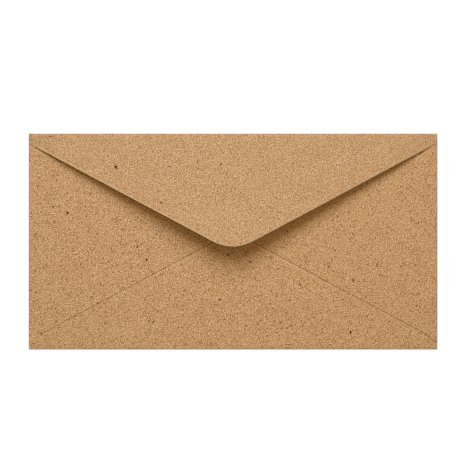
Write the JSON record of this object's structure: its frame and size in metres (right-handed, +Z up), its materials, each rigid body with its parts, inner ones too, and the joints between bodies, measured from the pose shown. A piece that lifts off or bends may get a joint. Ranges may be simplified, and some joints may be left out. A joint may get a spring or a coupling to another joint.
{
  "type": "paper envelope",
  "caption": "Brown kraft paper envelope with a pointed top flap standing slightly open, folded from one sheet.",
  "frame": {"origin": "centre of the bounding box at its base, under the middle of the front panel", "axes": "+X along the width, +Y from the bottom fold to the top fold, +Z up from the front panel to the flap side"},
  "size_m": [0.229, 0.121, 0.0108],
  "materials": {
    "kraft_paper": "matte uncoated brown kraft with fine fibres and small dark flecks"
  },
  "bodies": {
    "root": {"envelope": "kraft_paper"}
  },
  "joints": []
}
